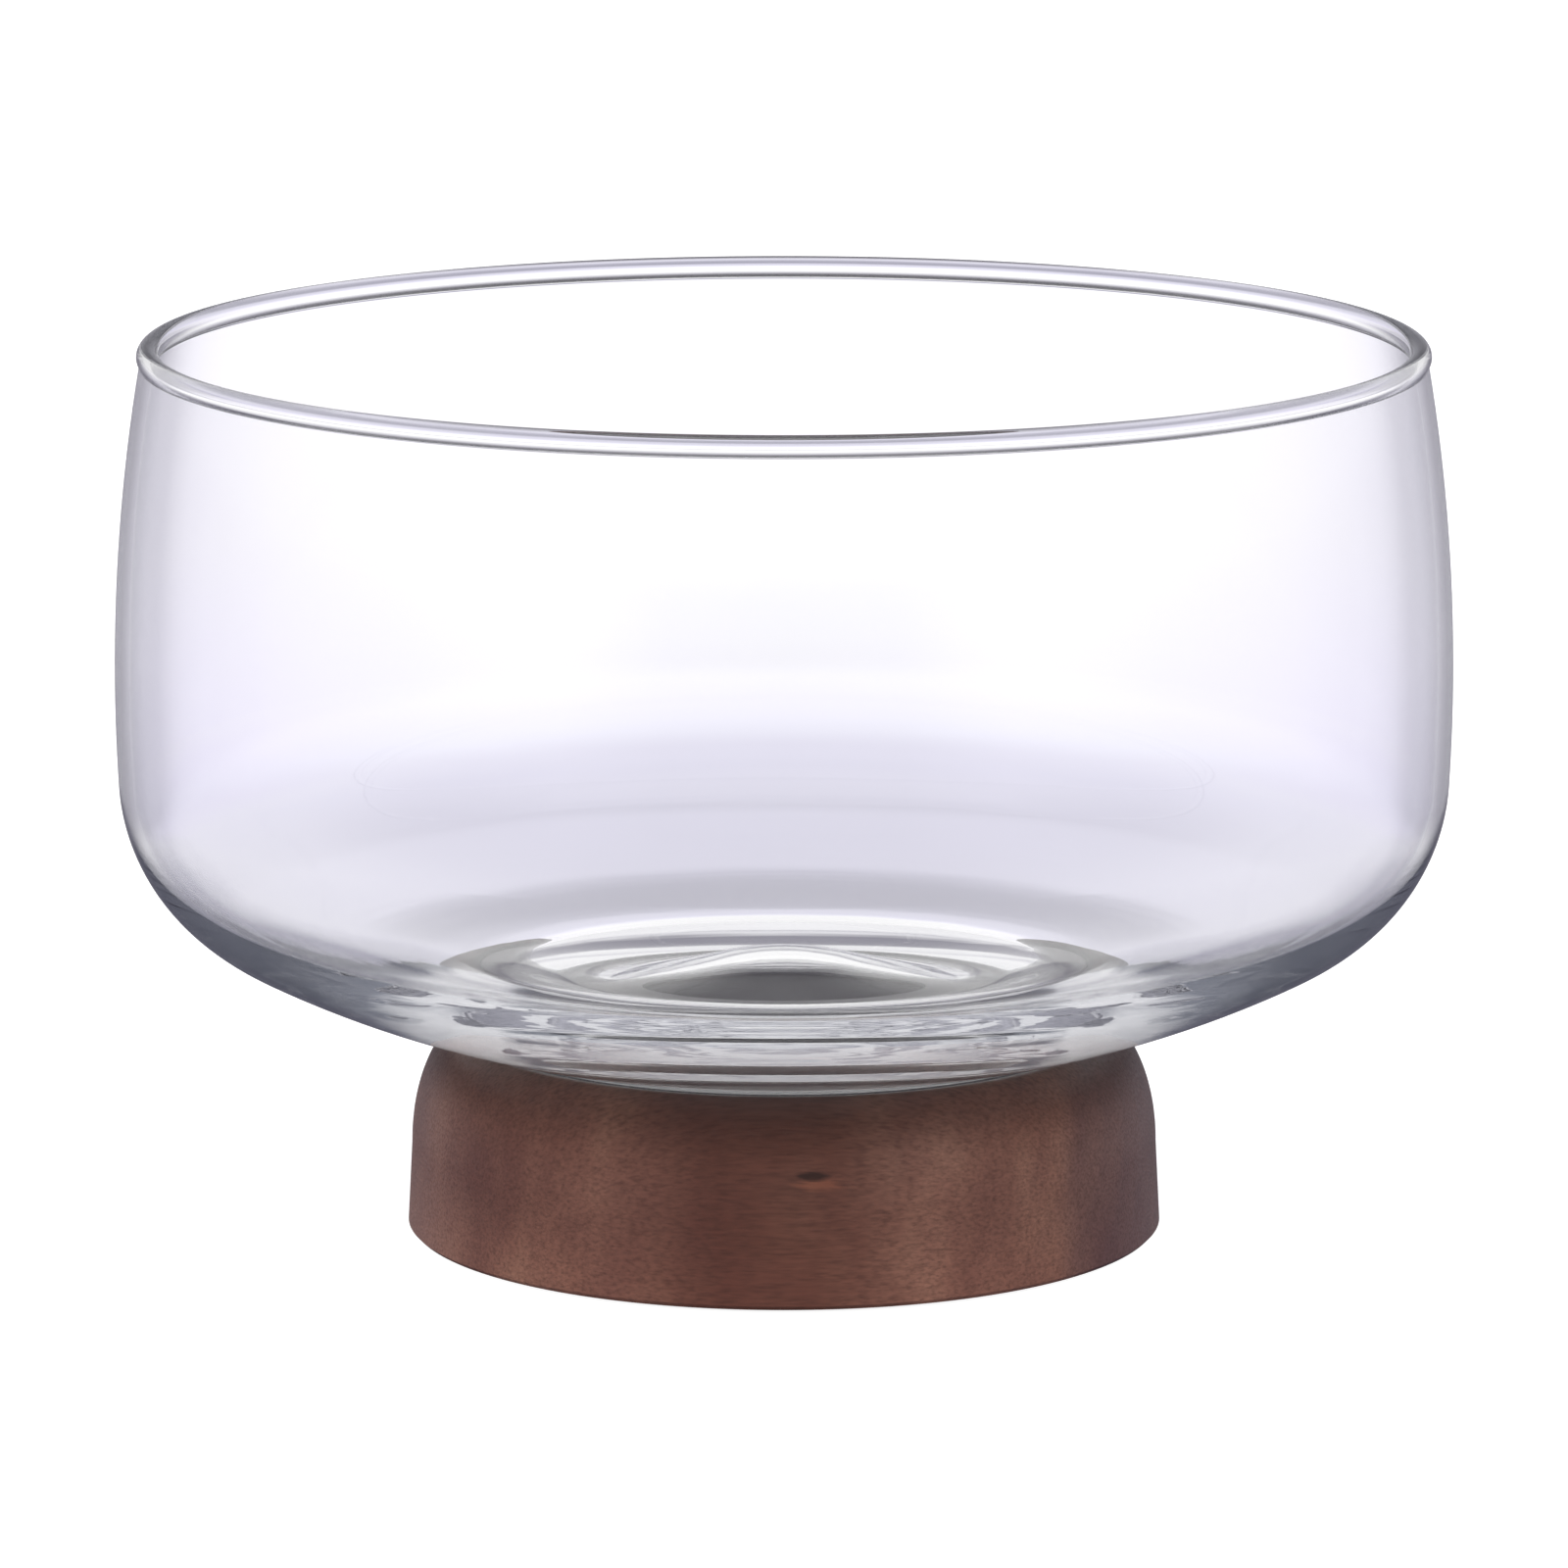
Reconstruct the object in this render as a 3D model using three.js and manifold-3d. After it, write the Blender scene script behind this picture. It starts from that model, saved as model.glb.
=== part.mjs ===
// Clear glass fruit bowl standing loose in a dished, turned wooden base.
// Millimetres and degrees, +Z up, resting on z = 0, every piece but the foot pads round about the Z axis.
import * as THREE from "three";
import { mergeVertices } from "three/addons/utils/BufferGeometryUtils.js";
import Module from "manifold-3d";

// Outer line of the glass: arcs tangent to each other, from the neck under the rim to the floor's middle.
// Steepness is the angle of the outward normal below the horizontal.
const BOWL_WIDEST_RADIUS = 125.1;
const BOWL_HEIGHT = 133.3; // lowest ring to the top of the rim
const WALL_ARC_RADIUS = 348;
const WALL_END_STEEPNESS = 3;
const CORNER_ARC_RADIUS = 36.5;
const CORNER_END_STEEPNESS = 61.8;
const SWEEP_ARC_RADIUS = 187.4; // shallow underside over the base
const SWEEP_END_STEEPNESS = 81.5;
const FOOT_ARC_RADIUS = 26; // lowest ring
const KICK_SLOPE = 21; // flank of the pushed-up middle
const CROWN_ARC_RADIUS = 34; // top of the pushed-up middle

// Thickness of the glass: even in the wall, growing all the way down to the heel over the lip of the base,
// and thinner again where the middle was pushed up.
const WALL_THICKNESS = 2.6;
const CORNER_THICKNESS = 4.5; // where the corner meets the sweep
const SWEEP_THICKNESS = 6.2;
const SWEEP_STATION_RADIUS = 84;
const HEEL_THICKNESS = 9.1;
const HEEL_RADIUS = 57;
const FOOT_THICKNESS = 5.3; // at the lowest ring
const CROWN_THICKNESS = 4.2; // on the axis

// Rolled rim: a bead run into the wall by a tight hollow on each side.
const BEAD_RADIUS = 2.15;
const BEAD_HOLLOW_RADIUS = 0.5;

// Turned base, heights above its own underside.
const BASE_FOOT_RADIUS = 71.1;
const BASE_EDGE_BEVEL = 0.8;
const BASE_SIDE_TOP_RADIUS = 70.3;
const BASE_SIDE_HEIGHT = 16;
const SHOULDER_RISE = 22.9; // full quarter of the elliptic shoulder
const SHOULDER_DEPTH = 12.4;
const SHOULDER_END = 70; // the lip cuts the quarter short here
const LIP_ARC_RADIUS = 1.5;
const LIP_INNER_SLOPE = 13.6;

// Ring-shaped silicone pad in a recess of the seat.
const SEAT_PAD_OUTER_RADIUS = 59;
const SEAT_PAD_INNER_RADIUS = 27;
const SEAT_PAD_THICKNESS = 1.5;

// Silicone pads in pockets under the base.
const FOOT_PAD_RADIUS = 8;
const FOOT_PAD_CIRCLE_RADIUS = 54;
const FOOT_PAD_PROUD = 0.8;
const FOOT_PAD_EDGE_BEVEL = 0.3;
const FOOT_PAD_COUNT = 4;
const POCKET_DEPTH = 1.6;

// Clearances between pieces that meet.
const GLASS_TO_WOOD = 0.6;
const GLASS_TO_PAD = 0.3;
const PAD_TO_WOOD = 0.3;

// Facets.
const FACET_DEPTH = 0.06;
const FINE_FACET_DEPTH = 0.03; // in the floor, where the thickness changes, and in the rim's hollows
const ROUND_SEGMENTS = 60;
const FOOT_PAD_SEGMENTS = 24;

const HALF_TURN = Math.PI;
const QUARTER_TURN = Math.PI / 2;
const radians = THREE.MathUtils.degToRad;

const wasm = await Module();
wasm.setup();

// A line in the r-z half plane, drawn as straights and arcs that leave tangent to each other.
// A positive turn is to the left; each point keeps the heading it was reached with.
class Outline {
  constructor(r, z, heading) {
    this.points = [{ r, z, heading }];
  }

  get end() {
    return this.points[this.points.length - 1];
  }

  line(length) {
    const { r, z, heading } = this.end;
    this.points.push({ r: r + length * Math.cos(heading), z: z + length * Math.sin(heading), heading });
    return this;
  }

  // Draws the arc and returns its centre.
  arc(radius, turn, facetDepth = FACET_DEPTH) {
    const { r, z, heading } = this.end;
    const side = Math.sign(turn);
    const centre = { r: r - side * radius * Math.sin(heading), z: z + side * radius * Math.cos(heading) };
    const facetTurn = 2 * Math.acos(1 - facetDepth / radius);
    const steps = Math.ceil(Math.abs(turn) / facetTurn);
    for (let step = 1; step <= steps; step++) {
      const now = heading + (turn * step) / steps;
      this.points.push({
        r: centre.r + side * radius * Math.sin(now),
        z: centre.z - side * radius * Math.cos(now),
        heading: now,
      });
    }
    return centre;
  }
}

function lathe(points, segments) {
  const profile = points.map(({ r, z }) => new THREE.Vector2(r, z));
  const geometry = new THREE.LatheGeometry(profile, segments);
  return geometry.rotateX(QUARTER_TURN);
}

function solid(geometry) {
  geometry.deleteAttribute("normal");
  geometry.deleteAttribute("uv");
  const merged = mergeVertices(geometry);
  const mesh = new wasm.Mesh({
    numProp: 3,
    vertProperties: merged.attributes.position.array,
    triVerts: new Uint32Array(merged.index.array),
  });
  return new wasm.Manifold(mesh);
}

function geometryOf(body) {
  const mesh = body.getMesh();
  const geometry = new THREE.BufferGeometry();
  geometry.setAttribute("position", new THREE.BufferAttribute(mesh.vertProperties, mesh.numProp));
  geometry.setIndex(new THREE.BufferAttribute(mesh.triVerts, 1));
  return geometry;
}

// A smooth curve through stations, which have a place and a value, that never overshoots them.
function smoothThrough(stations) {
  const grades = stations.slice(1).map((to, i) => {
    const from = stations[i];
    return (to.value - from.value) / (to.place - from.place);
  });
  const slopes = stations.map((_, i) => {
    const before = grades[i - 1] ?? 0;
    const after = grades[i] ?? 0;
    return before * after > 0 ? (2 * before * after) / (before + after) : 0;
  });
  return (place) => {
    const inside = THREE.MathUtils.clamp(place, stations[0].place, stations.at(-1).place);
    const next = Math.max(1, stations.findIndex((station) => inside <= station.place));
    const [from, to] = [stations[next - 1], stations[next]];
    const span = to.place - from.place;
    const share = (inside - from.place) / span;
    const rest = 1 - share;
    const ease = share ** 2 * (3 - 2 * share);
    const lean = share * rest * (slopes[next - 1] * rest - slopes[next] * share);
    return THREE.MathUtils.lerp(from.value, to.value, ease) + span * lean;
  };
}

// Glass, drawn with its widest level at height 0 until its seat is known.
const wallEnd = radians(WALL_END_STEEPNESS);
const cornerEnd = radians(CORNER_END_STEEPNESS);
const sweepEnd = radians(SWEEP_END_STEEPNESS);
const kickSlope = radians(KICK_SLOPE);
const dropOf = (radius, from, to) => radius * (Math.sin(to) - Math.sin(from));
const glassDrop =
  dropOf(WALL_ARC_RADIUS, 0, wallEnd) +
  dropOf(CORNER_ARC_RADIUS, wallEnd, cornerEnd) +
  dropOf(SWEEP_ARC_RADIUS, cornerEnd, sweepEnd) +
  dropOf(FOOT_ARC_RADIUS, sweepEnd, QUARTER_TURN);

// The neck, where the bead starts, lies on the wall's arc at the lean that brings the rim to its height.
const beadTurn = Math.acos((WALL_THICKNESS / 2 + BEAD_HOLLOW_RADIUS) / (BEAD_RADIUS + BEAD_HOLLOW_RADIUS));
const beadReach = (BEAD_RADIUS + BEAD_HOLLOW_RADIUS) * Math.sin(beadTurn);
const beadRise = BOWL_HEIGHT - glassDrop - BEAD_RADIUS;
const wallMiddleRadius = WALL_ARC_RADIUS - WALL_THICKNESS / 2;
const neckLean =
  Math.asin(beadRise / Math.hypot(wallMiddleRadius, beadReach)) - Math.atan2(beadReach, wallMiddleRadius);
const neckHeight = WALL_ARC_RADIUS * Math.sin(neckLean);
const neckRadius = BOWL_WIDEST_RADIUS - WALL_ARC_RADIUS * (1 - Math.cos(neckLean));

const glassOuter = new Outline(neckRadius, neckHeight, neckLean - QUARTER_TURN);
glassOuter.arc(WALL_ARC_RADIUS, -neckLean - wallEnd);
const cornerStartRadius = glassOuter.end.r;
glassOuter.arc(CORNER_ARC_RADIUS, wallEnd - cornerEnd);
const cornerEndRadius = glassOuter.end.r;
const sweepCentre = glassOuter.arc(SWEEP_ARC_RADIUS, cornerEnd - sweepEnd, FINE_FACET_DEPTH);
const footCentre = glassOuter.arc(FOOT_ARC_RADIUS, sweepEnd - QUARTER_TURN - kickSlope, FINE_FACET_DEPTH);
glassOuter.line((glassOuter.end.r - CROWN_ARC_RADIUS * Math.sin(kickSlope)) / Math.cos(kickSlope));
glassOuter.arc(CROWN_ARC_RADIUS, kickSlope);
glassOuter.end.r = 0;

const glassThickness = smoothThrough([
  { place: 0, value: CROWN_THICKNESS },
  { place: footCentre.r, value: FOOT_THICKNESS },
  { place: HEEL_RADIUS, value: HEEL_THICKNESS },
  { place: SWEEP_STATION_RADIUS, value: SWEEP_THICKNESS },
  { place: cornerEndRadius, value: CORNER_THICKNESS },
  { place: cornerStartRadius, value: WALL_THICKNESS },
]);
const glassInner = glassOuter.points.map(({ r, z, heading }) => {
  const thickness = glassThickness(r);
  return { r: r + thickness * Math.sin(heading), z: z - thickness * Math.cos(heading) };
});
glassInner.at(-1).r = 0;

const bead = new Outline(neckRadius, neckHeight, neckLean + QUARTER_TURN);
bead.arc(BEAD_HOLLOW_RADIUS, -beadTurn, FINE_FACET_DEPTH);
bead.arc(BEAD_RADIUS, HALF_TURN + 2 * beadTurn);
bead.arc(BEAD_HOLLOW_RADIUS, -beadTurn, FINE_FACET_DEPTH);

const glassSection = [...glassOuter.points.slice(1).reverse(), ...bead.points.slice(0, -1), ...glassInner];

// Base: the side and the shoulder, then the lip rolling over into the seat.
const baseBottom = FOOT_PAD_PROUD;
const sideTop = baseBottom + BASE_SIDE_HEIGHT;
const shoulderEnd = radians(SHOULDER_END);
const shoulderSteps = Math.ceil(shoulderEnd / (2 * Math.acos(1 - FACET_DEPTH / SHOULDER_RISE)));
const baseSide = [
  { r: 0, z: baseBottom },
  { r: BASE_FOOT_RADIUS - BASE_EDGE_BEVEL, z: baseBottom },
  { r: BASE_FOOT_RADIUS, z: baseBottom + BASE_EDGE_BEVEL },
];
for (let step = 0; step <= shoulderSteps; step++) {
  const turn = (shoulderEnd * step) / shoulderSteps;
  const r = BASE_SIDE_TOP_RADIUS - SHOULDER_DEPTH * (1 - Math.cos(turn));
  baseSide.push({ r, z: sideTop + SHOULDER_RISE * Math.sin(turn) });
}
const shoulderTop = baseSide[baseSide.length - 1];
const lipHeading = Math.atan2(
  SHOULDER_RISE * Math.cos(shoulderEnd),
  -SHOULDER_DEPTH * Math.sin(shoulderEnd),
);
const lip = new Outline(shoulderTop.r, shoulderTop.z, lipHeading);
lip.arc(LIP_ARC_RADIUS, HALF_TURN + radians(LIP_INNER_SLOPE) - lipHeading);

// The seat lies an even clearance under the sweep of the glass, so the lip sets the height of the glass.
const seatCentreHeight =
  lip.end.z + Math.sqrt((SWEEP_ARC_RADIUS + GLASS_TO_WOOD) ** 2 - (lip.end.r - sweepCentre.r) ** 2);
const widestHeight = seatCentreHeight - sweepCentre.z;
const glassLowest = widestHeight - glassDrop;

// Points at an even depth under the glass as far in as its lowest ring, and level from there.
function underGlass(fromRadius, toRadius, depth) {
  const reach = SWEEP_ARC_RADIUS + depth;
  const facet = 2 * Math.sqrt(2 * FACET_DEPTH * reach);
  const steps = Math.ceil((fromRadius - Math.max(toRadius, footCentre.r)) / facet);
  const points = [];
  for (let step = 0; step <= steps; step++) {
    const r = THREE.MathUtils.lerp(fromRadius, Math.max(toRadius, footCentre.r), step / steps);
    const sweep = seatCentreHeight - Math.sqrt(reach ** 2 - (r - sweepCentre.r) ** 2);
    points.push({ r, z: Math.max(sweep, glassLowest - depth) });
  }
  if (toRadius < footCentre.r) points.push({ r: toRadius, z: glassLowest - depth });
  return points;
}

const recessRadius = SEAT_PAD_OUTER_RADIUS + PAD_TO_WOOD;
const recessDepth = GLASS_TO_PAD + SEAT_PAD_THICKNESS + PAD_TO_WOOD;
const baseSection = [
  ...baseSide,
  ...lip.points.slice(1, -1),
  ...underGlass(lip.end.r, recessRadius, GLASS_TO_WOOD),
  ...underGlass(recessRadius, 0, recessDepth),
];

const seatPadTop = underGlass(SEAT_PAD_OUTER_RADIUS, SEAT_PAD_INNER_RADIUS, GLASS_TO_PAD);
const seatPadBottom = underGlass(
  SEAT_PAD_OUTER_RADIUS,
  SEAT_PAD_INNER_RADIUS,
  GLASS_TO_PAD + SEAT_PAD_THICKNESS,
);
const seatPadSection = [...seatPadTop, ...seatPadBottom.reverse(), seatPadTop[0]];

// Foot pads, and the pockets that take them.
const footPadHeight = FOOT_PAD_PROUD + POCKET_DEPTH - PAD_TO_WOOD;
const footPadSection = [
  { r: 0, z: 0 },
  { r: FOOT_PAD_RADIUS - FOOT_PAD_EDGE_BEVEL, z: 0 },
  { r: FOOT_PAD_RADIUS, z: FOOT_PAD_EDGE_BEVEL },
  { r: FOOT_PAD_RADIUS, z: footPadHeight },
  { r: 0, z: footPadHeight },
];
const pocketRadius = FOOT_PAD_RADIUS + PAD_TO_WOOD;
const pocketTop = baseBottom + POCKET_DEPTH;
const pocketSection = [
  { r: 0, z: 0 },
  { r: pocketRadius, z: 0 },
  { r: pocketRadius, z: pocketTop },
  { r: 0, z: pocketTop },
];
const footPadPlaces = Array.from({ length: FOOT_PAD_COUNT }, (_, index) => {
  const angle = (2 * HALF_TURN * (index + 1 / 2)) / FOOT_PAD_COUNT;
  return [FOOT_PAD_CIRCLE_RADIUS * Math.cos(angle), FOOT_PAD_CIRCLE_RADIUS * Math.sin(angle), 0];
});

const pocket = solid(lathe(pocketSection, FOOT_PAD_SEGMENTS));
const turned = solid(lathe(baseSection, ROUND_SEGMENTS));
const base = footPadPlaces.reduce((body, place) => body.subtract(pocket.translate(place)), turned);

const glass = new THREE.MeshStandardMaterial({ color: "#dfe4e6", roughness: 0.03, metalness: 0 });
const wood = new THREE.MeshStandardMaterial({ color: "#6a4a3e", roughness: 0.45, metalness: 0 });
const silicone = new THREE.MeshStandardMaterial({ color: "#33302e", roughness: 0.6, metalness: 0 });

const object = new THREE.Group();

function add(name, geometry, material, place = [0, 0, 0]) {
  const mesh = new THREE.Mesh(geometry, material);
  mesh.name = name;
  mesh.position.set(...place);
  object.add(mesh);
}

add("glass_bowl", lathe(glassSection, ROUND_SEGMENTS), glass, [0, 0, widestHeight]);
add("wood_base", geometryOf(base), wood);
add("seat_pad", lathe(seatPadSection, ROUND_SEGMENTS), silicone);
footPadPlaces.forEach((place, index) => {
  add(`foot_pad_${index + 1}`, lathe(footPadSection, FOOT_PAD_SEGMENTS), silicone, place);
});

export default object;
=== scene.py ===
# %% [markdown]
# The object is a clear glass fruit bowl that stands loose in a turned wooden base. The CAD solids give the frame: each
# one keeps its place, and finer pieces with the real finish stand for the ones that are seen. Everything is in metres,
# +Z is up, and the object rests on z = 0.

# %% Load the frame
import math
import bpy
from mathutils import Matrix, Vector


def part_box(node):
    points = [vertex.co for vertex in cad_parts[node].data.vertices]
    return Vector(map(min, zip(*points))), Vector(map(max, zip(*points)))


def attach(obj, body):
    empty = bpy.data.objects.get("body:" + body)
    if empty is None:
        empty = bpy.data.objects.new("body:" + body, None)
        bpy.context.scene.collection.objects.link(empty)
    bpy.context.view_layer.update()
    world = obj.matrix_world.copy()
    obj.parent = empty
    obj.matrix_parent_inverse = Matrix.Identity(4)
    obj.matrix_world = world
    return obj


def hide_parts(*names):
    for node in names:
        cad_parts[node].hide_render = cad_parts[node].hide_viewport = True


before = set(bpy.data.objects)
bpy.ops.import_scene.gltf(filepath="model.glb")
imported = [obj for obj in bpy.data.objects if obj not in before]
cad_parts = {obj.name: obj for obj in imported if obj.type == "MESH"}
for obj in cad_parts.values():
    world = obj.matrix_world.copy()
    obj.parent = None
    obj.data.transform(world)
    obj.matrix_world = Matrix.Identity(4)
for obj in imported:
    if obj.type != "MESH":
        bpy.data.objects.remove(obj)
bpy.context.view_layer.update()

MM = 0.001
print("nodes:", ", ".join(sorted(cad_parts)))

# %% [markdown]
# The bowl, the base and the seat pad are round about the Z axis, so each could be a scaled stack of rings, a screw
# modifier on a curve, or a half section that is spun. The spun section is chosen: it is how a turner thinks of the work,
# and the outline can be made of arcs that run into each other without a kink. An outline here is a list of points with
# the heading at each point.

# %% Outlines made of arcs
FACET_DEPTH = 0.006 * MM


def arc(outline, radius, turn, facet_depth=FACET_DEPTH):
    """Adds an arc that leaves tangent to the outline's end and turns left by `turn` radians. Returns its centre."""
    r, z, heading = outline[-1]
    side = math.copysign(1, turn)
    centre_r = r - side * radius * math.sin(heading)
    centre_z = z + side * radius * math.cos(heading)
    steps = max(2, math.ceil(abs(turn) / (2 * math.acos(1 - facet_depth / radius))))
    for step in range(1, steps + 1):
        now = heading + turn * step / steps
        outline.append((centre_r + side * radius * math.sin(now), centre_z - side * radius * math.cos(now), now))
    return centre_r, centre_z


def straight(outline, length, steps):
    """Adds a straight run of points along the outline's heading."""
    r, z, heading = outline[-1]
    for step in range(1, steps + 1):
        run = length * step / steps
        outline.append((r + run * math.cos(heading), z + run * math.sin(heading), heading))


# %% [markdown]
# A half section is drawn as by hand: a small plane is merged to one vertex, which is moved to the start of the outline
# and extruded from point to point. Spin then carries it once round the Z axis. The seam and the poles are merged before
# the normals are recalculated, because spin alone leaves them open.

# %% Spinning a half section
MERGE_DISTANCE = 0.002 * MM


def spin_section(name, outline, segments):
    """Makes a closed round piece from (r, z) points that start and end on the axis or on each other."""
    bpy.ops.object.select_all(action="DESELECT")
    bpy.ops.mesh.primitive_plane_add(size=MM)
    piece = bpy.context.object
    piece.name = piece.data.name = name
    bpy.ops.object.mode_set(mode="EDIT")
    bpy.ops.mesh.select_all(action="SELECT")
    bpy.ops.mesh.merge(type="CENTER")
    points = [Vector((r, 0, z)) for r, z in outline]
    bpy.ops.transform.translate(value=points[0])
    for here, there in zip(points, points[1:]):
        bpy.ops.mesh.extrude_region_move(TRANSFORM_OT_translate={"value": there - here})
    bpy.ops.mesh.select_all(action="SELECT")
    bpy.ops.mesh.spin(steps=segments, angle=math.tau, center=(0, 0, 0), axis=(0, 0, 1))
    bpy.ops.mesh.select_all(action="SELECT")
    bpy.ops.mesh.remove_doubles(threshold=MERGE_DISTANCE)
    bpy.ops.mesh.normals_make_consistent(inside=False)
    bpy.ops.object.mode_set(mode="OBJECT")
    bpy.ops.object.shade_smooth()
    print(name, "faces:", len(piece.data.polygons))
    return piece


# %% [markdown]
# The bowl is one blown piece of glass. Its wall is nearly upright with a slow bulge, the lower corner is tight, the
# underside is shallow, and the middle of the floor was pushed up while the glass was hot. The angles at which its arcs
# end are those of the outward normal below the horizontal. The wall starts with a very short run: smooth shading
# averages the normals of two neighbouring faces, and a long face beside the rim's tight hollow would bend the light
# like a prism.

# %% The glass bowl's outer line
WIDEST_RADIUS, BOWL_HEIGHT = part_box("glass_bowl")[1].x, 133.3 * MM
WALL_ARC, WALL_END = 348 * MM, math.radians(3)
CORNER_ARC, CORNER_END = 36.5 * MM, math.radians(61.8)
SWEEP_ARC, SWEEP_END = 187.4 * MM, math.radians(81.5)
FOOT_ARC, KICK_SLOPE, CROWN_ARC = 26 * MM, math.radians(21), 34 * MM
WALL_THICKNESS, BEAD_RADIUS, BEAD_HOLLOW = 2.6 * MM, 2.15 * MM, 0.5 * MM
NECK_RUN, KICK_STEPS = 0.2 * MM, 16

glass_drop = (
    WALL_ARC * math.sin(WALL_END)
    + CORNER_ARC * (math.sin(CORNER_END) - math.sin(WALL_END))
    + SWEEP_ARC * (math.sin(SWEEP_END) - math.sin(CORNER_END))
    + FOOT_ARC * (1 - math.sin(SWEEP_END))
)
bead_turn = math.acos((WALL_THICKNESS / 2 + BEAD_HOLLOW) / (BEAD_RADIUS + BEAD_HOLLOW))
bead_reach = (BEAD_RADIUS + BEAD_HOLLOW) * math.sin(bead_turn)
bead_rise = BOWL_HEIGHT - glass_drop - BEAD_RADIUS
wall_middle = WALL_ARC - WALL_THICKNESS / 2
neck_lean = math.asin(bead_rise / math.hypot(wall_middle, bead_reach)) - math.atan2(bead_reach, wall_middle)
neck = (WIDEST_RADIUS - WALL_ARC * (1 - math.cos(neck_lean)), WALL_ARC * math.sin(neck_lean))

outer = [(*neck, neck_lean - math.pi / 2)]
arc(outer, WALL_ARC, -NECK_RUN / WALL_ARC)
arc(outer, WALL_ARC, NECK_RUN / WALL_ARC - neck_lean - WALL_END)
corner_start = outer[-1][0]
arc(outer, CORNER_ARC, WALL_END - CORNER_END)
corner_end = outer[-1][0]
sweep_centre = arc(outer, SWEEP_ARC, CORNER_END - SWEEP_END)
foot_ring = arc(outer, FOOT_ARC, SWEEP_END - math.pi / 2 - KICK_SLOPE)[0]
straight(outer, (outer[-1][0] - CROWN_ARC * math.sin(KICK_SLOPE)) / math.cos(KICK_SLOPE), KICK_STEPS)
arc(outer, CROWN_ARC, KICK_SLOPE)
outer[-1] = (0, *outer[-1][1:])
print("neck lean in degrees:", round(math.degrees(neck_lean), 2), "outline points:", len(outer))

# %% [markdown]
# The glass is thin in the wall and grows thicker all the way down to the heel over the base's lip. The pushed-up middle
# is thinner again. This heavy heel is what makes the floor look like liquid silver: light is caught in it and runs round
# inside. The thickness is given at a few stations of radius, and a smooth curve that never overshoots joins them.

# %% The glass bowl's inner line
STATIONS = [
    (0, 4.2 * MM),
    (foot_ring, 5.3 * MM),
    (57 * MM, 9.1 * MM),
    (84 * MM, 6.2 * MM),
    (corner_end, 4.5 * MM),
    (corner_start, WALL_THICKNESS),
]
grades = [(b[1] - a[1]) / (b[0] - a[0]) for a, b in zip(STATIONS, STATIONS[1:])]
slopes = [0, *(2 * a * b / (a + b) if a * b > 0 else 0 for a, b in zip(grades, grades[1:])), 0]


def glass_thickness(r):
    """Thickness of the glass over the point of the outer line at radius r."""
    r = min(r, STATIONS[-1][0])
    for (r0, t0), (r1, t1), slope0, slope1 in zip(STATIONS, STATIONS[1:], slopes, slopes[1:]):
        if r <= r1:
            share = (r - r0) / (r1 - r0)
            rest = 1 - share
            lean = share * rest * (slope0 * rest - slope1 * share)
            return t0 + (t1 - t0) * share**2 * (3 - 2 * share) + (r1 - r0) * lean


inner = [(r + glass_thickness(r) * math.sin(a), z - glass_thickness(r) * math.cos(a)) for r, z, a in outer]
inner[-1] = (0, inner[-1][1])
print("heaviest glass:", round(max(glass_thickness(r) for r, z, a in outer) / MM, 2), "mm")

# %% [markdown]
# The rim was melted round into a bead a little thicker than the wall. A tight hollow on each side runs the wall into the
# bead, and the same three arcs carry the outer line over the top and down to the inner line. The section is lifted so
# that its rim meets the rim of the CAD solid. The number of segments keeps the mesh just under 200,000 triangles.

# %% The glass bowl's rim and body
BEAD_FACET, GLASS_SEGMENTS = 0.001 * MM, 316
bead = [(*neck, neck_lean + math.pi / 2)]
arc(bead, BEAD_HOLLOW, -bead_turn, BEAD_FACET)
arc(bead, BEAD_RADIUS, math.pi + 2 * bead_turn, BEAD_FACET)
arc(bead, BEAD_HOLLOW, -bead_turn, BEAD_FACET)

section = [(r, z) for r, z, a in outer[:0:-1]] + [(r, z) for r, z, a in bead[:-1]] + inner
rim_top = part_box("glass_bowl")[1].z
lift = rim_top - max(z for r, z in section)
glass_bowl = spin_section("blown_glass_bowl", [(r, z + lift) for r, z in section], GLASS_SEGMENTS)
glass_lowest = lift - glass_drop
print("rim top:", round(rim_top / MM, 2), "mm, lowest ring:", round(glass_lowest / MM, 2), "mm")

# %% [markdown]
# The base was turned from one disc of wood: a small bevel at the bottom edge, a side that leans in a little, a long soft
# shoulder and a narrow lip that rolls over into the seat. The shoulder is a quarter of an ellipse that the lip cuts
# short. The seat follows the glass at an even gap, and a recess in it takes the silicone pad.

# %% The base's outline
BASE_FOOT_RADIUS, EDGE_BEVEL = 71.1 * MM, 0.8 * MM
SIDE_TOP_RADIUS, SIDE_HEIGHT = 70.3 * MM, 16 * MM
SHOULDER_RISE, SHOULDER_DEPTH, SHOULDER_END = 22.9 * MM, 12.4 * MM, math.radians(70)
LIP_ARC, LIP_INNER_SLOPE = 1.5 * MM, math.radians(13.6)
GLASS_TO_WOOD, GLASS_TO_PAD, PAD_TO_WOOD = 0.6 * MM, 0.3 * MM, 0.3 * MM
PAD_OUTER, PAD_INNER, PAD_THICKNESS = 59 * MM, 27 * MM, 1.5 * MM
SHOULDER_STEPS, SEAT_STEPS, BASE_SEGMENTS = 32, 24, 180

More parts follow.
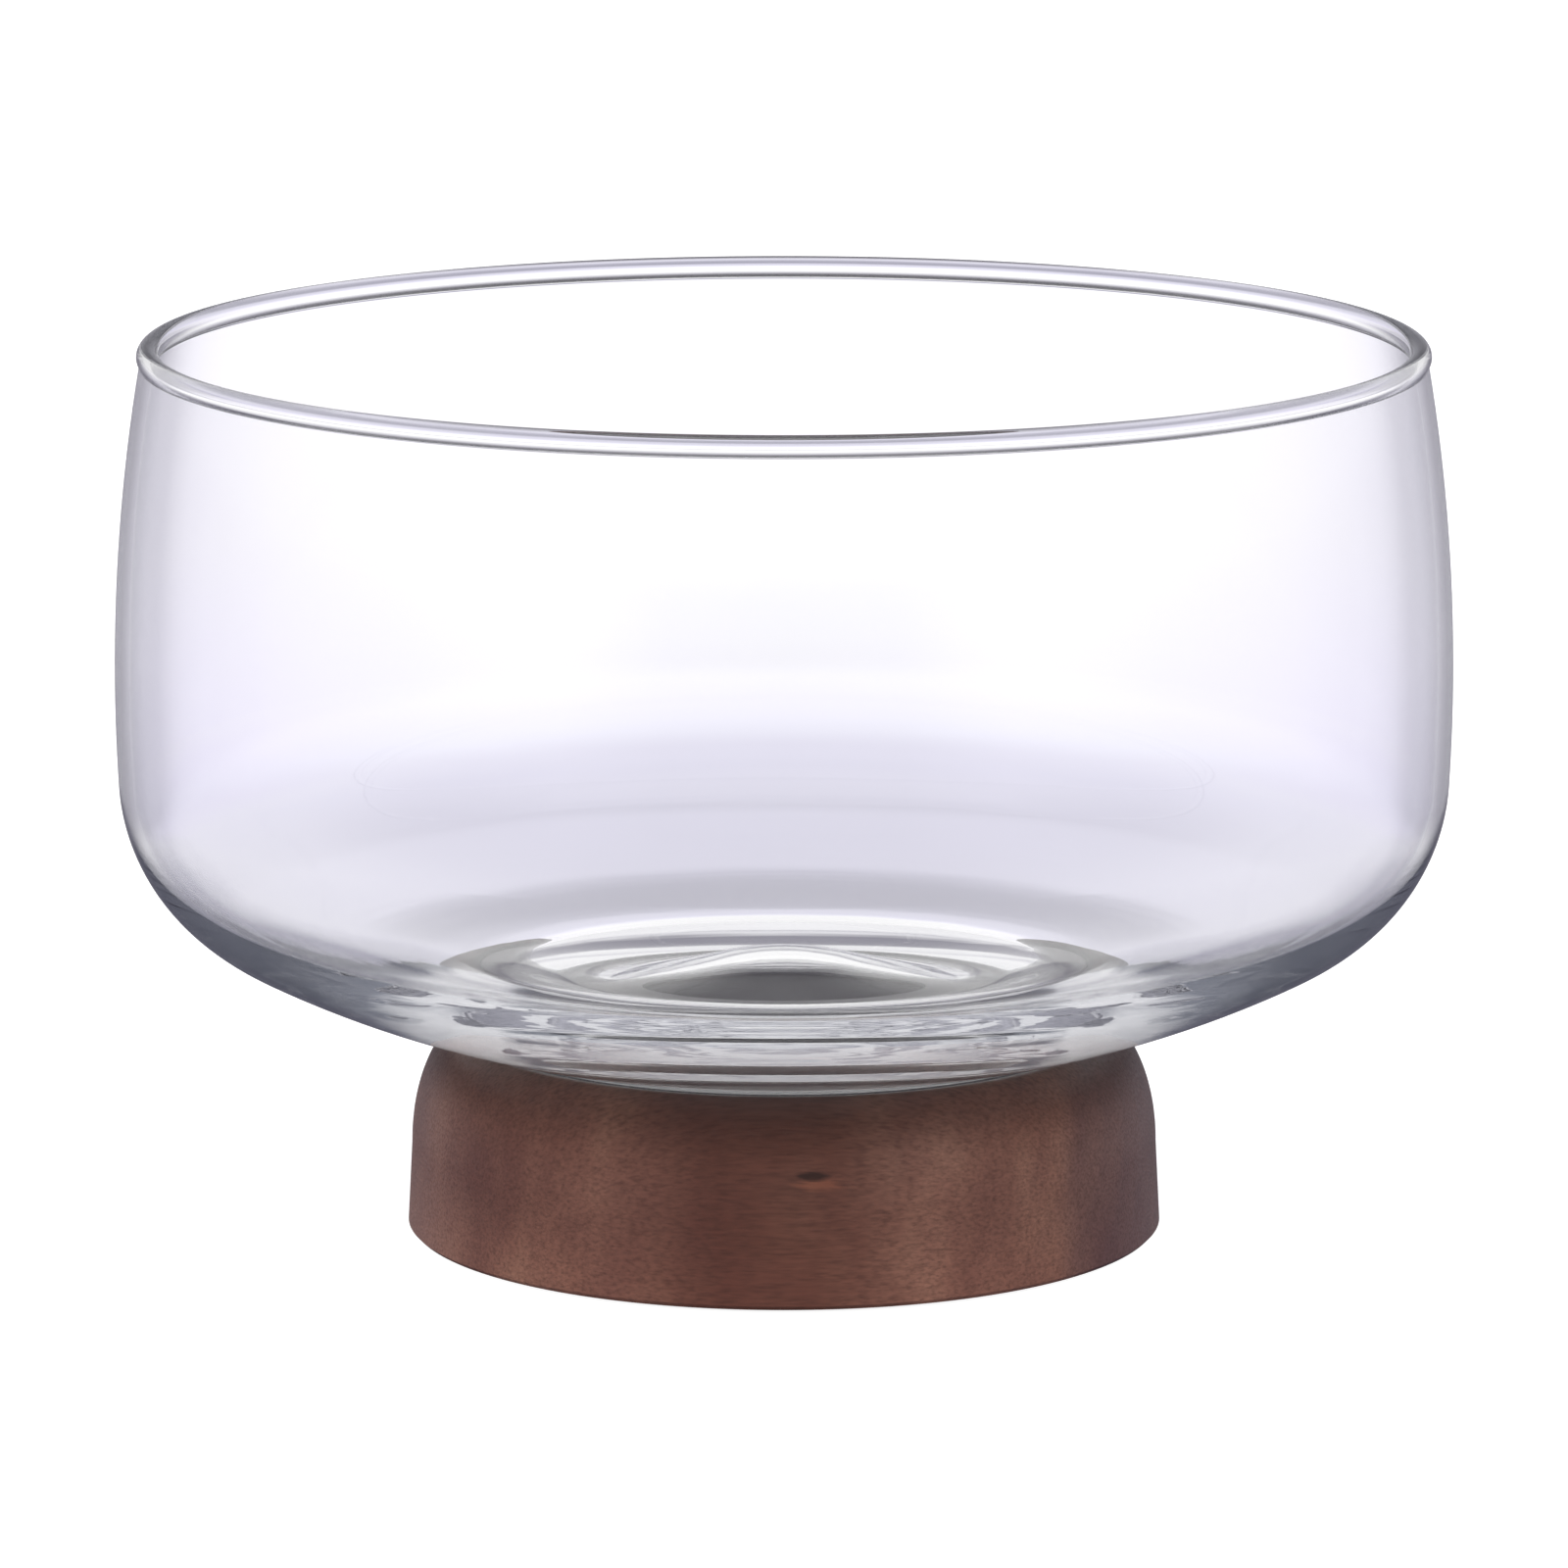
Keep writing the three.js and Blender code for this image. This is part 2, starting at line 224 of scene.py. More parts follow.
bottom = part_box("wood_base")[0].z
base_outline = [(0, bottom), (BASE_FOOT_RADIUS - EDGE_BEVEL, bottom), (BASE_FOOT_RADIUS, bottom + EDGE_BEVEL)]
for step in range(SHOULDER_STEPS + 1):
    turn = SHOULDER_END * step / SHOULDER_STEPS
    r = SIDE_TOP_RADIUS - SHOULDER_DEPTH * (1 - math.cos(turn))
    base_outline.append((r, bottom + SIDE_HEIGHT + SHOULDER_RISE * math.sin(turn)))
lip_heading = math.atan2(SHOULDER_RISE * math.cos(SHOULDER_END), -SHOULDER_DEPTH * math.sin(SHOULDER_END))
lip = [(*base_outline[-1], lip_heading)]
arc(lip, LIP_ARC, math.pi + LIP_INNER_SLOPE - lip_heading)
base_outline += [(r, z) for r, z, heading in lip[1:]]


def under_glass(from_radius, to_radius, depth):
    """Points at an even depth under the glass as far in as its lowest ring, and level from there."""
    reach = SWEEP_ARC + depth
    points = []
    for step in range(SEAT_STEPS + 1):
        r = from_radius + (max(to_radius, foot_ring) - from_radius) * step / SEAT_STEPS
        sweep = lift + sweep_centre[1] - math.sqrt(reach**2 - (r - sweep_centre[0]) ** 2)
        points.append((r, max(sweep, glass_lowest - depth)))
    return points + [(to_radius, glass_lowest - depth)] * (to_radius < foot_ring)


recess = PAD_OUTER + PAD_TO_WOOD
base_outline += under_glass(base_outline[-1][0], recess, GLASS_TO_WOOD)[1:]
base_outline += under_glass(recess, 0, GLASS_TO_PAD + PAD_THICKNESS + PAD_TO_WOOD)
turned_base = spin_section("turned_wood_base", base_outline, BASE_SEGMENTS)

# %% [markdown]
# The pockets for the foot pads aren't round about Z, so they are cut after the turning, as a drill would: four discs are
# placed, joined and taken away with a Boolean modifier. Smooth shading is then kept off the sharp edges.

# %% Pockets under the base
POCKET_DEPTH, POCKET_SIDES = 1.6 * MM, 64
SMOOTH_ANGLE = math.radians(35)
foot_pads = [name for name in sorted(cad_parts) if name.startswith("foot_pad")]
cutters = []
for name in foot_pads:
    low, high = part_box(name)
    centre = (low + high) / 2
    bpy.ops.mesh.primitive_cylinder_add(
        vertices=POCKET_SIDES,
        radius=(high.x - low.x) / 2 + PAD_TO_WOOD,
        depth=2 * POCKET_DEPTH,
        location=(centre.x, centre.y, bottom),
    )
    cutters.append(bpy.context.object)
bpy.ops.object.select_all(action="DESELECT")
for cutter in cutters:
    cutter.select_set(True)
bpy.ops.object.join()
cutter = bpy.context.object
cut = turned_base.modifiers.new("pockets", "BOOLEAN")
cut.operation, cut.solver, cut.object = "DIFFERENCE", "EXACT", cutter
bpy.ops.object.select_all(action="DESELECT")
bpy.context.view_layer.objects.active = turned_base
turned_base.select_set(True)
bpy.ops.object.modifier_apply(modifier=cut.name)
bpy.data.objects.remove(cutter)
bpy.ops.object.shade_smooth_by_angle(angle=SMOOTH_ANGLE)
print("base with pockets, faces:", len(turned_base.data.polygons))

# %% [markdown]
# The seat pad is a soft washer that takes the curve of the recess. It keeps the glass from sliding and from ringing on
# the wood. The glass floor shows it as a pale ring round the middle of the seat, which is painted dark as shade.

# %% The seat pad
pad_top = under_glass(PAD_OUTER, PAD_INNER, GLASS_TO_PAD)
pad_bottom = under_glass(PAD_OUTER, PAD_INNER, GLASS_TO_PAD + PAD_THICKNESS)
seat_pad = spin_section("soft_seat_pad", pad_top + pad_bottom[::-1] + pad_top[:1], BASE_SEGMENTS)
bpy.ops.object.shade_smooth_by_angle(angle=SMOOTH_ANGLE)

# %% [markdown]
# Every material is a node tree made by one small function, which adds a node, sets its values, links its inputs and
# returns its output. Colours are written as sRGB hex values and turned to linear numbers, because shaders work in
# linear light. The scale of a pattern is worked out from its size on the real thing, in millimetres.


# %% Material helpers
def linear(hex_colour):
    """An sRGB hex colour as linear red, green, blue and alpha."""
    values = [int(hex_colour[i : i + 2], 16) / 255 for i in (1, 3, 5)]
    return [v / 12.92 if v <= 0.04045 else ((v + 0.055) / 1.055) ** 2.4 for v in values] + [1]


def node(tree, kind, *values, stops=(), **named):
    """Adds a node and returns the first output in use. Values, or outputs to link, go to the sockets in order or, named
    with a capital and _ for spaces, by name. Small names are settings. Stops are a colour ramp's places and colours."""
    made = tree.nodes.new("ShaderNode" + kind)
    for name in [name for name in named if name.islower()]:
        setattr(made, name, named.pop(name))
    given = list(zip([socket for socket in made.inputs if socket.enabled], values))
    given += [(made.inputs[name.replace("_", " ")], value) for name, value in named.items()]
    for socket, value in given:
        if isinstance(value, bpy.types.NodeSocket):
            tree.links.new(value, socket)
        else:
            socket.default_value = value
    if stops:
        elements = made.color_ramp.elements
        while len(elements) < len(stops):
            elements.new(0.5)
        for element, (place, colour) in zip(elements, stops):
            element.position = place
        for element, (place, colour) in zip(elements, stops):
            element.color = linear(colour)
    return next((output for output in made.outputs if output.enabled), None)


def repeats(*sizes):
    """The scale of a pattern along X, Y and Z from its sizes in millimetres."""
    return [1 / (size * MM) for size in sizes]


def new_material(name):
    """An empty material and its node tree."""
    material = bpy.data.materials.new(name)
    material.use_nodes = True
    material.node_tree.nodes.clear()
    return material, material.node_tree


# %% [markdown]
# Clear soda-lime glass, blown and fire-polished: no colour in the thin wall, a faint blue grey where the light runs a
# long way through it, and a surface that is smooth but not quite even. Turning in the mould left rings about 3 mm wide
# and streaks about 6 mm wide, too faint to feel. They show only in the heavy floor, as fine lines. Height plus radius
# grows steadily along the section, so noise on that sum runs round the bowl.

# %% Blown soda-lime glass
GLASS_IOR, GLASS_TINT, TINT_DENSITY = 1.52, "#cacbd2", 3.5
RING_SIZES, STREAK_SIZES, WAVE_SIZE = (3, 125, 125), (6, 30, 30), 25 * MM
STREAK_SHARE, WAVE_SHARE, UNEVENNESS = 1.5, 0.4, 0.012 * MM
HEEL_TOP, HEEL_FULL = 75 * MM, 45 * MM
glass_material, tree = new_material("blown_soda_lime_glass")
place = node(tree, "TexCoord").node.outputs["Object"]
axes = node(tree, "SeparateXYZ", place).node.outputs
radius = node(tree, "VectorMath", node(tree, "CombineXYZ", axes["X"], axes["Y"]), operation="LENGTH")
along = node(tree, "Math", radius, axes["Z"], operation="ADD")
unrolled = node(tree, "CombineXYZ", along, axes["X"], axes["Y"])
rings_at = node(tree, "Mapping", unrolled, Scale=repeats(*RING_SIZES))
rings = node(tree, "TexNoise", rings_at, Scale=1.0, Detail=1.0)
streaks_at = node(tree, "Mapping", unrolled, Scale=repeats(*STREAK_SIZES))
streaks = node(tree, "TexNoise", streaks_at, Scale=1.0, Detail=1.0)
uneven = node(tree, "Math", streaks, STREAK_SHARE, rings, operation="MULTIPLY_ADD")
low_down = node(tree, "MapRange", axes["Z"], HEEL_TOP, HEEL_FULL, 0.1, 1.0, interpolation_type="SMOOTHSTEP")
waves = node(tree, "TexNoise", place, Scale=1 / WAVE_SIZE, Detail=1.0)
faint_waves = node(tree, "Math", waves, WAVE_SHARE, operation="MULTIPLY")
height = node(tree, "Math", uneven, low_down, faint_waves, operation="MULTIPLY_ADD")
bump = node(tree, "Bump", Height=height, Strength=1.0, Distance=UNEVENNESS)
shader = node(
    tree,
    "BsdfPrincipled",
    Base_Color=linear("#ffffff"),
    Roughness=0.0,
    IOR=GLASS_IOR,
    Transmission_Weight=1.0,
    Normal=bump,
)
tint = node(tree, "VolumeAbsorption", Color=linear(GLASS_TINT), Density=TINT_DENSITY)
node(tree, "OutputMaterial", Surface=shader, Volume=tint)
glass_bowl.data.materials.append(glass_material)
print(glass_material.name, "nodes:", len(tree.nodes))

# %% [markdown]
# Dark brown wood, turned, sanded and oiled. The disc was cut with the fibre along X. Patches a few centimetres wide make
# its tone uneven, and a darker flame crosses the front.

# %% Oiled brown wood: patches and flame
PATCH_SIZES, PATCH_WANDER = (20, 30, 45), 12 * MM
FLAME_X, FLAME_CORE, FLAME_EDGE, FLAME_SHARE = -3 * MM, 10 * MM, 34 * MM, 0.75
wood_material, tree = new_material("oiled_turned_walnut")
place = node(tree, "TexCoord").node.outputs["Object"]
axes = node(tree, "SeparateXYZ", place).node.outputs
patch_at = node(tree, "Mapping", place, Scale=repeats(*PATCH_SIZES))
patch = node(tree, "TexNoise", patch_at, Scale=1.0, Detail=3.0)
patch_tint = node(tree, "ValToRGB", patch, stops=((0.3, "#55322a"), (0.5, "#694438"), (0.7, "#7c5747")))
wander = node(tree, "Math", patch, PATCH_WANDER, -PATCH_WANDER / 2, operation="MULTIPLY_ADD")
from_flame = node(tree, "Math", axes["X"], -FLAME_X, operation="ADD")
wandering = node(tree, "Math", from_flame, wander, operation="ADD")
off_flame = node(tree, "Math", wandering, operation="ABSOLUTE")
flame = node(
    tree, "MapRange", off_flame, FLAME_CORE, FLAME_EDGE, FLAME_SHARE, 0.0, interpolation_type="SMOOTHSTEP"
)
flamed = node(tree, "Mix", flame, patch_tint, linear("#4a271d"), data_type="RGBA")

# %% [markdown]
# The heart of the tree lay behind and below the disc, so the growth rings are parts of wide cylinders round a line along
# X. On the front they are only faint. They grow stronger toward the right end, where a darker edge of heartwood begins.

# %% Oiled brown wood: growth rings and heartwood
HEART_BEHIND, HEART_BELOW = 100 * MM, 50 * MM
RING_SPACING, SWAY_SIZE, SWAY = 7 * MM, 50 * MM, 18 * MM
RINGS_FROM, RINGS_TO, RINGS_FRONT, RINGS_END = 36 * MM, 56 * MM, 0.12, 0.55
HEARTWOOD_FROM, HEARTWOOD_TO, HEARTWOOD_SHARE = 50 * MM, 57 * MM, 0.5
sway = node(tree, "TexNoise", place, Scale=1 / SWAY_SIZE, Detail=2.0)
behind = node(tree, "Math", axes["Y"], HEART_BEHIND, operation="SUBTRACT")
above = node(tree, "Math", axes["Z"], HEART_BELOW, operation="ADD")
distance = node(tree, "VectorMath", node(tree, "CombineXYZ", Y=behind, Z=above), operation="LENGTH")
swayed = node(tree, "Math", sway, SWAY, distance, operation="MULTIPLY_ADD")
years = node(tree, "Math", swayed, 1 / RING_SPACING, operation="MULTIPLY")
growth = node(tree, "Math", years, operation="FRACT")
ring_dark = node(
    tree, "ValToRGB", growth, stops=((0.0, "#000000"), (0.35, "#202020"), (0.75, "#8c8c8c"), (1.0, "#000000"))
)
at_end = node(tree, "MapRange", axes["X"], RINGS_FROM, RINGS_TO, RINGS_FRONT, RINGS_END)
ring_weight = node(tree, "Math", ring_dark, at_end, operation="MULTIPLY")
ringed = node(tree, "Mix", ring_weight, flamed, linear("#372127"), data_type="RGBA")
heart_edge = node(tree, "Math", axes["X"], wander, operation="ADD")
heart = node(
    tree,
    "MapRange",
    heart_edge,
    HEARTWOOD_FROM,
    HEARTWOOD_TO,
    0.0,
    HEARTWOOD_SHARE,
    interpolation_type="SMOOTHSTEP",
)
body = node(tree, "Mix", heart, ringed, linear("#33202a"), data_type="RGBA")

# %% [markdown]
# Pores are short dark dashes along the fibre, drawn 4 mm long and 0.5 mm wide, and the fibres themselves are drawn 16 mm
# long and 0.7 mm wide: both coarser than real ones, which would be lost between two pixels.

# %% Oiled brown wood: pores and fibres
PORE_SIZES, PORE_SHARE = (4, 0.5, 0.5), 0.5
FIBRE_SIZES, FIBRE_SHARE = (16, 0.7, 0.7), 0.28
PORE_TINT = "#331c15"
pore_at = node(tree, "Mapping", place, Scale=repeats(*PORE_SIZES))
pores = node(tree, "TexNoise", pore_at, Scale=1.0, Detail=1.0)
pore_dark = node(tree, "MapRange", pores, 0.45, 0.8, 0.0, PORE_SHARE)
fibre_at = node(tree, "Mapping", place, Scale=repeats(*FIBRE_SIZES))
fibres = node(tree, "TexNoise", fibre_at, Scale=1.0, Detail=2.0)
fibre_dark = node(tree, "MapRange", fibres, 0.35, 0.65, 0.0, FIBRE_SHARE)
fibrous = node(tree, "Mix", fibre_dark, body, linear(PORE_TINT), data_type="RGBA")
porous = node(tree, "Mix", pore_dark, fibrous, linear(PORE_TINT), data_type="RGBA")

# %% [markdown]
# One small dark knot sits in the front, with a warm patch under it. Each is a spot whose distance from the middle is
# measured in half sizes, and the pores make its edge uneven.

# %% Oiled brown wood: knot
SPOT_UNEVEN, SPOT_EDGE = 0.9, 1.6


def spot(centre, half_size, full_within, strength):
    """The share of a soft spot on the wood: `strength` in its middle, with an edge that wanders with the pores."""
    away = node(tree, "VectorMath", place, centre, operation="SUBTRACT")
    scaled = node(tree, "VectorMath", away, half_size, operation="DIVIDE")
    far = node(tree, "VectorMath", scaled, operation="LENGTH")
    edge = node(tree, "Math", pores, SPOT_UNEVEN, far, operation="MULTIPLY_ADD")
    return node(tree, "MapRange", edge, SPOT_EDGE, full_within, 0.0, strength, interpolation_type="SMOOTHSTEP")


warm = spot((0.0062, -0.0692, 0.0240), (0.0050, 0.01, 0.0014), full_within=0.7, strength=0.4)
warmed = node(tree, "Mix", warm, porous, linear("#7a4630"), data_type="RGBA")
knot = spot((0.0052, -0.0692, 0.0255), (0.0036, 0.01, 0.0010), full_within=0.9, strength=0.85)
knotted = node(tree, "Mix", knot, warmed, linear("#241612"), data_type="RGBA")

# %% [markdown]
# The wood is painted darker by height, as painted shade from the bowl above it: the bottom edge least, the side more,
# the shoulder still more, and the seat inside the lip, under the glass, is painted near black as shade. The oiled
# surface is satin, and a little rougher in some places than in others.

# %% Oiled brown wood: painted shade and gloss
SHADE_HEIGHT, LIP_RADIUS, SEAT_FROM, SEAT_SHADE_SHARE = 40 * MM, 60.5 * MM, 30 * MM, 0.85
PORE_DEPTH = 0.08 * MM
# Painted shade: the colour turns darker with height, standing in for the bowl's shadow over the shoulder.
shade_height_at = node(tree, "Math", axes["Z"], 1 / SHADE_HEIGHT, operation="MULTIPLY")
painted_height_shade = node(
    tree, "ValToRGB", shade_height_at, stops=((0.10, "#000000"), (0.36, "#6c6c6c"), (0.70, "#6c6c6c"), (0.86, "#b6b6b6"))
)
height_shaded = node(tree, "Mix", painted_height_shade, knotted, linear("#140a07"), data_type="RGBA")
radius = node(tree, "VectorMath", node(tree, "CombineXYZ", axes["X"], axes["Y"]), operation="LENGTH")
# Painted shade: the seat inside the lip, under the glass, is painted near black where only shade falls.
inside_lip = node(tree, "Math", radius, LIP_RADIUS, operation="LESS_THAN")
on_top = node(tree, "Math", axes["Z"], SEAT_FROM, operation="GREATER_THAN")
in_seat = node(tree, "Math", inside_lip, on_top, operation="MULTIPLY")
seat_painted_shade = node(tree, "Math", in_seat, SEAT_SHADE_SHARE, operation="MULTIPLY")
colour = node(tree, "Mix", seat_painted_shade, height_shaded, linear("#120b09"), data_type="RGBA")
gloss = node(tree, "MapRange", pores, 0.3, 0.7, 0.40, 0.52)
bump = node(tree, "Bump", Height=pores, Strength=0.2, Distance=PORE_DEPTH)
shader = node(tree, "BsdfPrincipled", Base_Color=colour, Roughness=gloss, Specular_IOR_Level=0.35, Normal=bump)
node(tree, "OutputMaterial", Surface=shader)
turned_base.data.materials.append(wood_material)
print(wood_material.name, "nodes:", len(tree.nodes))

# %% [markdown]
# Silicone, moulded and dull, with a fine speckle: the seat pad and the foot pads are of one kind. It is drawn as a mid
# grey, because the glass floor shows the seat pad and is bright there. The speckle is drawn about 0.8 mm wide, coarser
# than it would be, so that it can be seen at all.

# %% Silicone
SPECKLE_SIZE, SPECKLE_DEPTH, SILICONE_IOR = 0.8 * MM, 0.1 * MM, 1.41
silicone_material, tree = new_material("dark_silicone")
place = node(tree, "TexCoord").node.outputs["Object"]
speckle = node(tree, "TexNoise", place, Scale=1 / SPECKLE_SIZE, Detail=2.0)
dull = node(tree, "ValToRGB", speckle, stops=((0.35, "#787577"), (0.65, "#888587")))
bump = node(tree, "Bump", Height=speckle, Strength=0.2, Distance=SPECKLE_DEPTH)
shader = node(tree, "BsdfPrincipled", Base_Color=dull, Roughness=0.35, IOR=SILICONE_IOR, Normal=bump)
node(tree, "OutputMaterial", Surface=shader)
seat_pad.data.materials.append(silicone_material)
print(silicone_material.name, "nodes:", len(tree.nodes))

# %% [markdown]
# Each new piece rides on its CAD body and stands for its CAD node, and the table gives the record's finish beside
# each. The foot pads stay as the CAD has them, and only take the better material.

# %% Pieces on the frame
for piece, body_name, cad_node, finish in (
    (glass_bowl, "bowl", "glass_bowl", "clear_glass"),
    (turned_base, "base", "wood_base", "oiled_wood"),
    (seat_pad, "base", "seat_pad", "dark_silicone"),
):
    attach(piece, body_name)
    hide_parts(cad_node)
    print(piece.name, "rides on", body_name)
for name in foot_pads:
    for pad_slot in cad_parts[name].material_slots:
        pad_slot.material = silicone_material

# %% [markdown]
# The studio is a white floor and a white backdrop. The camera sees the floor at full white, less a soft shadow. Glass is
# left to see the backdrop all round instead of the floor.

# %% Floor
FLOOR_SIZE, FLOOR_GLOW = 8, 0.9
bpy.ops.object.select_all(action="DESELECT")
bpy.ops.mesh.primitive_plane_add(size=FLOOR_SIZE)
floor = bpy.context.object
floor.name = "studio_floor"
floor_material, tree = new_material("white_floor")
ray = node(tree, "LightPath").node.outputs
pale = node(tree, "BsdfDiffuse", Color=linear("#f0f0f0"))
shaded = node(tree, "BsdfDiffuse", Color=linear("#a0a0a0"))
white = node(tree, "Emission", Color=linear("#ffffff"), Strength=FLOOR_GLOW)
seen = node(tree, "AddShader", shaded, white)
node(tree, "OutputMaterial", Surface=node(tree, "MixShader", ray["Is Camera Ray"], pale, seen))
floor.data.materials.append(floor_material)
floor.visible_transmission = False
floor.visible_glossy = False
print("floor:", FLOOR_SIZE, "m wide")

# %% [markdown]
# Glass has no colour of its own to show, so a photographer draws its edges with dark cards on either side of a bright
# backdrop. Planes in the scene could do that for one side only, so the world does it here: bright straight behind the
# bowl and falling to lavender grey within about 10 degrees to each side. Above eye level the cards go on as darker
# flags. The pattern comes round every 45 degrees, so the bowl looks alike from eight sides, and it fades out well above
# and below eye level. In the world, Generated coordinates are the direction of the light.

# %% World: cards and flags beside the backdrop
CARD_TURN = math.pi / 8
world = bpy.data.worlds.new("studio")
bpy.context.scene.world = world
world.use_nodes = True
tree = world.node_tree
tree.nodes.clear()
axes = node(tree, "SeparateXYZ", node(tree, "TexCoord").node.outputs["Generated"]).node.outputs
turn = node(tree, "Math", axes["X"], axes["Y"], operation="ARCTAN2")
folded = node(tree, "Math", turn, CARD_TURN, operation="PINGPONG")
fold = node(tree, "Math", folded, 1 / CARD_TURN, operation="MULTIPLY")
over = node(tree, "MapRange", axes["Z"], -0.30, -0.21, interpolation_type="SMOOTHSTEP")
under = node(tree, "MapRange", axes["Z"], 0.15, -0.05, interpolation_type="SMOOTHSTEP")
band = node(tree, "Math", over, under, operation="MULTIPLY")
cards = node(
    tree,
    "ValToRGB",
    node(tree, "Math", fold, band, operation="MULTIPLY"),
    stops=(
        (0.13, "#ffffff"),
        (0.222, "#fbf9ff"),
        (0.287, "#f4f2fb"),
        (0.324, "#eceaf4"),
        (0.369, "#dbd9e3"),
        (0.409, "#cac8d3"),
        (0.5, "#c4c2cd"),
        (1.0, "#c4c2cd"),
    ),
)
high = node(tree, "MapRange", axes["Z"], -0.09, -0.01, interpolation_type="SMOOTHSTEP")
below_room = node(tree, "MapRange", axes["Z"], 0.55, 0.35, interpolation_type="SMOOTHSTEP")
flag_band = node(tree, "Math", high, below_room, operation="MULTIPLY")
flags = node(
    tree,
    "ValToRGB",
    node(tree, "Math", fold, flag_band, operation="MULTIPLY"),
    stops=((0.3, "#ffffff"), (0.45, "#9c9ba2"), (0.65, "#77767d"), (1.0, "#77767d")),
)

# %% [markdown]
# Only light seen straight through the glass meets the cards: in reflections their edges would show as patches on the
# wall. Reflected light is dimmed evenly instead, most from in front and behind, and less to the sides. Light that was
# caught in the glass and turned many times is dark to the sides, up to where the ceiling begins.

# %% World: dimmed reflections
aside_turn = node(tree, "Math", turn, math.pi / 2, operation="PINGPONG")
aside = node(tree, "Math", aside_turn, 2 / math.pi, operation="MULTIPLY")
dim_tint = node(
    tree,
    "ValToRGB",
    aside,
    stops=(
        (0.0, "#84828d"),
        (0.225, "#9896a1"),
        (0.325, "#c0bec9"),
        (0.425, "#dddbe6"),
        (0.55, "#dddbe6"),
        (0.75, "#c4c2cd"),
        (1.0, "#c4c2cd"),
    ),
)
dim_outside = node(tree, "Mix", under, linear("#ffffff"), dim_tint, data_type="RGBA")
dim_inside = node(tree, "Mix", band, linear("#ffffff"), dim_tint, data_type="RGBA")
below_ceiling = node(tree, "MapRange", axes["Z"], 0.72, 0.52, interpolation_type="SMOOTHSTEP")
beside = node(
    tree,
    "ValToRGB",
    node(tree, "Math", aside, below_ceiling, operation="MULTIPLY"),
    stops=((0.24, "#ffffff"), (0.42, "#8b8f98"), (0.65, "#5c6069"), (1.0, "#5c6069")),
)

# %% [markdown]
# The light also changes with height. The table beyond the bowl is lavender grey, which is what the lower wall shows, and
# the room above the backdrop is dark, which draws the lower of the rim's two lines. Light that bounced off the outside
# of the glass sees that dark room as well, and light that was turned round inside the glass sees the shade under the
# bowl, so each of the three has a ramp of its own, from straight down at 0 to straight up at 1.

# %% World: light by height
upward = node(tree, "MapRange", axes["Z"], -1.0, 1.0)
seen_through = node(
    tree,
    "ValToRGB",
    upward,
    stops=(
        (0.0, "#6c6a71"),
        (0.067, "#8a8890"),
        (0.125, "#c4c2cd"),
        (0.16, "#dfddeb"),
        (0.235, "#b0aebd"),
        (0.289, "#a3a1b0"),
        (0.305, "#aba9b8"),
        (0.321, "#bbb9c8"),
        (0.337, "#d5d3e2"),
        (0.354, "#d9d7e6"),
        (0.371, "#dcdaea"),
        (0.388, "#e3e1f0"),
        (0.396, "#ecebf8"),
        (0.405, "#f3f1fd"),
        (0.413, "#faf9ff"),
        (0.422, "#ffffff"),
        (0.56, "#ffffff"),
        (0.63, "#c9c8d0"),
        (0.69, "#7f7d85"),
        (0.76, "#4e4d52"),
        (1.0, "#4e4d52"),
    ),
)
off_outside = node(
    tree,
    "ValToRGB",
    upward,
    stops=(
        (0.0, "#6c6b73"),
        (0.179, "#77767f"),
        (0.289, "#8a8993"),
        (0.37, "#a2a1ab"),
        (0.422, "#ffffff"),
        (0.5, "#ffffff"),
        (0.53, "#b0afb6"),
        (0.58, "#77767d"),
        (0.894, "#66656b"),
        (0.933, "#66656b"),
        (0.958, "#e0dfe6"),
        (1.0, "#ffffff"),
    ),
)
turned_inside = node(
    tree,
    "ValToRGB",
    upward,
    stops=(
        (0.0, "#6c6b73"),
        (0.067, "#76757d"),
        (0.179, "#8a8993"),
        (0.289, "#bcbac6"),
        (0.405, "#ffffff"),
        (0.787, "#ffffff"),
        (0.894, "#b8b7be"),
        (0.933, "#b8b7be"),
        (0.958, "#e6e5ec"),
        (1.0, "#ffffff"),
    ),
)

# %% [markdown]
# Light Path tells how the light came. Half a step lies between none and one, so a depth over 0.5 means that it happened
# at all. The camera itself sees plain white, and the light on the wood counts as turned inside.

# %% World: one light for each way through the glass
ONCE, MANY_TURNS, WORLD_STRENGTH = 0.5, 3.5, 1.12
ray = node(tree, "LightPath").node.outputs
carded = node(tree, "Mix", 1.0, seen_through, cards, data_type="RGBA", blend_type="MULTIPLY")
flagged = node(tree, "Mix", 1.0, carded, flags, data_type="RGBA", blend_type="MULTIPLY")
was_guided = node(tree, "Math", ray["Glossy Depth"], MANY_TURNS, operation="GREATER_THAN")
shade_inside = node(tree, "Mix", was_guided, dim_inside, beside, data_type="RGBA")
through_glass = node(tree, "Math", ray["Transmission Depth"], ONCE, operation="GREATER_THAN")
inside_or_wood = node(tree, "Math", through_glass, ray["Diffuse Depth"], operation="ADD")
was_inside = node(tree, "Math", inside_or_wood, ONCE, operation="GREATER_THAN")
shade = node(tree, "Mix", was_inside, dim_outside, shade_inside, data_type="RGBA")
bounced = node(tree, "Mix", was_inside, off_outside, turned_inside, data_type="RGBA")
turned = node(tree, "Mix", 1.0, bounced, shade, data_type="RGBA", blend_type="MULTIPLY")
turns = node(tree, "Math", ray["Glossy Depth"], ray["Diffuse Depth"], operation="ADD")
